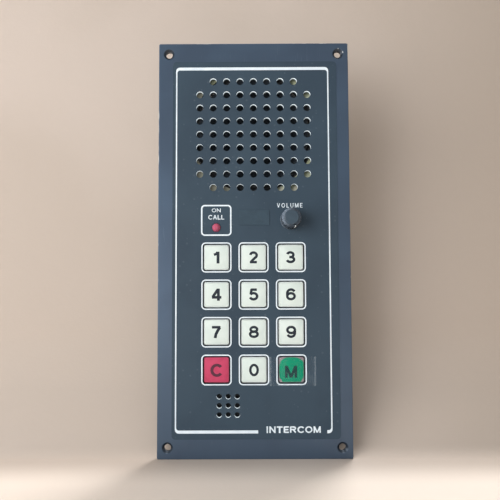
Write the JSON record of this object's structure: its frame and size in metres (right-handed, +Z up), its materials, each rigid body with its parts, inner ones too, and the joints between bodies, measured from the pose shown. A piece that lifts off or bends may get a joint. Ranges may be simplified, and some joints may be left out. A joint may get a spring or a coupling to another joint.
{
  "type": "panel intercom station",
  "caption": "Flush panel intercom with a loudspeaker grille, numbered keypad with coloured end keys, call lamp, volume knob and microphone; the working parts stand on its back.",
  "frame": {"origin": "centre of the four fixing holes, on the front panel's rear face", "axes": "+Z up, -Y out of the front towards the user, +X to the user's right"},
  "size_m": [0.13, 0.0658, 0.281],
  "materials": {
    "panel_paint": "fine satin lacquer, slate blue-grey",
    "overlay_foil": "fine-textured matte foil, dark slate",
    "label_foil": "clear window over a blank strip",
    "key_white": "smooth moulded, off-white",
    "key_red": "smooth moulded, red",
    "key_green": "smooth moulded, green",
    "print_white": "screen-printed ink, off-white",
    "print_dark": "inlaid legend, dark",
    "clear_tape": "clear adhesive tape, slightly creased",
    "lamp_lens": "diffused red lens",
    "knob_plastic": "satin moulded, near black",
    "knob_cap_plastic": "matte moulded, blue-grey",
    "gasket_rubber": "closed-cell foam, black",
    "boot_rubber": "soft moulded, black",
    "black_plastic": "moulded, black",
    "switch_plastic": "moulded, dark grey",
    "plated_steel": "nickel-plated pressing",
    "zinc_steel": "bright zinc",
    "yellow_zinc": "yellow-passivated zinc",
    "shaft_metal": "turned",
    "brass_turned": "turned",
    "surround_cloth": "doped woven cloth, black",
    "spider_cloth": "impregnated woven cloth, amber",
    "cone_paper": "pulp paper, dark",
    "copper_wire": "enamelled copper winding",
    "ferrite": "sintered ferrite, dark grey",
    "phenolic_strip": "phenolic board, brown",
    "red_insulation": "flexible insulation, red",
    "grey_insulation": "flexible insulation, grey",
    "capsule_aluminium": "drawn can",
    "board_laminate": "glass-epoxy board with green mask",
    "pillar_nickel": "nickel-plated",
    "terminal_plastic": "moulded, green",
    "core_steel": "varnished laminations",
    "coil_tape": "yellow film tape",
    "relay_plastic": "moulded, blue",
    "capacitor_sleeve": "shrunk sleeve, dark blue",
    "black_anodised": "black-anodised extrusion",
    "chip_epoxy": "moulded epoxy, black",
    "trimmer_plastic": "moulded, blue",
    "resistor_lacquer": "beige lacquer"
  },
  "bodies": {
    "root": {"front_panel": "panel_paint", "front_overlay": "overlay_foil", "label_plate": "label_foil", "wall_gasket": "gasket_rubber", "key_switches": "switch_plastic", "call_lamp": "lamp_lens", "lamp_spacer": "black_plastic", "volume_control": "plated_steel", "volume_nut": "zinc_steel", "speaker_frame": "yellow_zinc", "speaker_surround": "surround_cloth", "speaker_spider": "spider_cloth", "speaker_top_plate": "yellow_zinc", "speaker_magnet": "ferrite", "speaker_yoke": "yellow_zinc", "speaker_terminals": "phenolic_strip", "speaker_studs": "zinc_steel", "speaker_nuts": "zinc_steel", "speaker_lead": "red_insulation", "microphone_boot": "boot_rubber", "microphone_capsule": "capsule_aluminium", "microphone_lead": "grey_insulation", "keypad_board": "board_laminate", "main_board": "board_laminate", "front_pillars": "pillar_nickel", "rear_pillars": "pillar_nickel", "board_screws": "zinc_steel", "board_connector": "black_plastic", "terminal_block": "terminal_plastic", "terminal_screws": "zinc_steel", "transformer_core": "core_steel", "transformer_coil": "coil_tape", "call_relay": "relay_plastic", "capacitors": "capacitor_sleeve", "heat_sink": "black_anodised", "amplifier_chip": "chip_epoxy", "logic_chips": "chip_epoxy", "trimmers": "trimmer_plastic", "resistors": "resistor_lacquer"},
    "key_1": {"key_1_cap": "key_white"},
    "key_2": {"key_2_cap": "key_white"},
    "key_3": {"key_3_cap": "key_white"},
    "key_4": {"key_4_cap": "key_white"},
    "key_5": {"key_5_cap": "key_white"},
    "key_6": {"key_6_cap": "key_white"},
    "key_7": {"key_7_cap": "key_white"},
    "key_8": {"key_8_cap": "key_white"},
    "key_9": {"key_9_cap": "key_white"},
    "key_c": {"key_c_cap": "key_red"},
    "key_0": {"key_0_cap": "key_white"},
    "key_m": {"key_m_cap": "key_green"},
    "volume": {"volume_shaft": "shaft_metal", "knob_body": "knob_plastic", "knob_collet": "brass_turned", "knob_cap": "knob_cap_plastic"},
    "speaker_cone": {"speaker_cone": "cone_paper", "speaker_dust_cap": "cone_paper", "speaker_voice_coil": "copper_wire"}
  },
  "joints": [
    {"name": "key_1_press", "type": "slide", "parent": "root", "child": "key_1", "axis": [0, 1, 0], "range_m": [0, 0.002], "stiffness_N_per_m": 400, "springref_m": -0.0005},
    {"name": "key_2_press", "type": "slide", "parent": "root", "child": "key_2", "axis": [0, 1, 0], "range_m": [0, 0.002], "stiffness_N_per_m": 400, "springref_m": -0.0005},
    {"name": "key_3_press", "type": "slide", "parent": "root", "child": "key_3", "axis": [0, 1, 0], "range_m": [0, 0.002], "stiffness_N_per_m": 400, "springref_m": -0.0005},
    {"name": "key_4_press", "type": "slide", "parent": "root", "child": "key_4", "axis": [0, 1, 0], "range_m": [0, 0.002], "stiffness_N_per_m": 400, "springref_m": -0.0005},
    {"name": "key_5_press", "type": "slide", "parent": "root", "child": "key_5", "axis": [0, 1, 0], "range_m": [0, 0.002], "stiffness_N_per_m": 400, "springref_m": -0.0005},
    {"name": "key_6_press", "type": "slide", "parent": "root", "child": "key_6", "axis": [0, 1, 0], "range_m": [0, 0.002], "stiffness_N_per_m": 400, "springref_m": -0.0005},
    {"name": "key_7_press", "type": "slide", "parent": "root", "child": "key_7", "axis": [0, 1, 0], "range_m": [0, 0.002], "stiffness_N_per_m": 400, "springref_m": -0.0005},
    {"name": "key_8_press", "type": "slide", "parent": "root", "child": "key_8", "axis": [0, 1, 0], "range_m": [0, 0.002], "stiffness_N_per_m": 400, "springref_m": -0.0005},
    {"name": "key_9_press", "type": "slide", "parent": "root", "child": "key_9", "axis": [0, 1, 0], "range_m": [0, 0.002], "stiffness_N_per_m": 400, "springref_m": -0.0005},
    {"name": "key_c_press", "type": "slide", "parent": "root", "child": "key_c", "axis": [0, 1, 0], "range_m": [0, 0.002], "stiffness_N_per_m": 400, "springref_m": -0.0005},
    {"name": "key_0_press", "type": "slide", "parent": "root", "child": "key_0", "axis": [0, 1, 0], "range_m": [0, 0.002], "stiffness_N_per_m": 400, "springref_m": -0.0005},
    {"name": "key_m_press", "type": "slide", "parent": "root", "child": "key_m", "axis": [0, 1, 0], "range_m": [0, 0.002], "stiffness_N_per_m": 400, "springref_m": -0.0005},
    {"name": "volume_turn", "type": "hinge", "parent": "root", "child": "volume", "pos_m": [0.0244, 0, 0.0184], "axis": [0, 1, 0], "range_deg": [-300, 0]},
    {"name": "cone_stroke", "type": "slide", "parent": "root", "child": "speaker_cone", "axis": [0, 1, 0], "range_m": [-0.0004, 0.0004], "stiffness_N_per_m": 2000}
  ]
}
